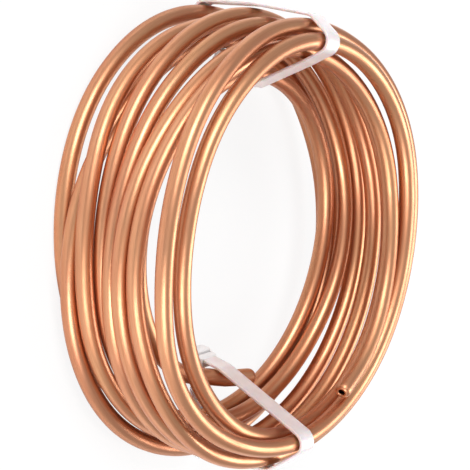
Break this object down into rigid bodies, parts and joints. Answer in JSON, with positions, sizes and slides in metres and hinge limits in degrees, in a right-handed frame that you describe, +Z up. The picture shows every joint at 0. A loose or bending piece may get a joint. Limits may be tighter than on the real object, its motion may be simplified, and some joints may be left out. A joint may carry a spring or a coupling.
{
  "type": "copper tube coil",
  "caption": "Loose coil of soft copper tube, lying on its side, its turns held together by two nylon cable ties.",
  "frame": {"origin": "on the ground under the middle of the coil's outline; the coil lies on its rear turns", "axes": "+Z up, near enough along the coil's axis, towards the side with the free outer end; +Y towards the tie that is at the top in the picture; +X completes the frame, towards the side with both free ends"},
  "size_m": [0.1684, 0.1744, 0.0637],
  "materials": {
    "copper": "satin",
    "nylon": "milky, slightly see-through"
  },
  "bodies": {
    "root": {"copper_tube": "copper", "lower_tie": "nylon", "upper_tie": "nylon"}
  },
  "joints": []
}
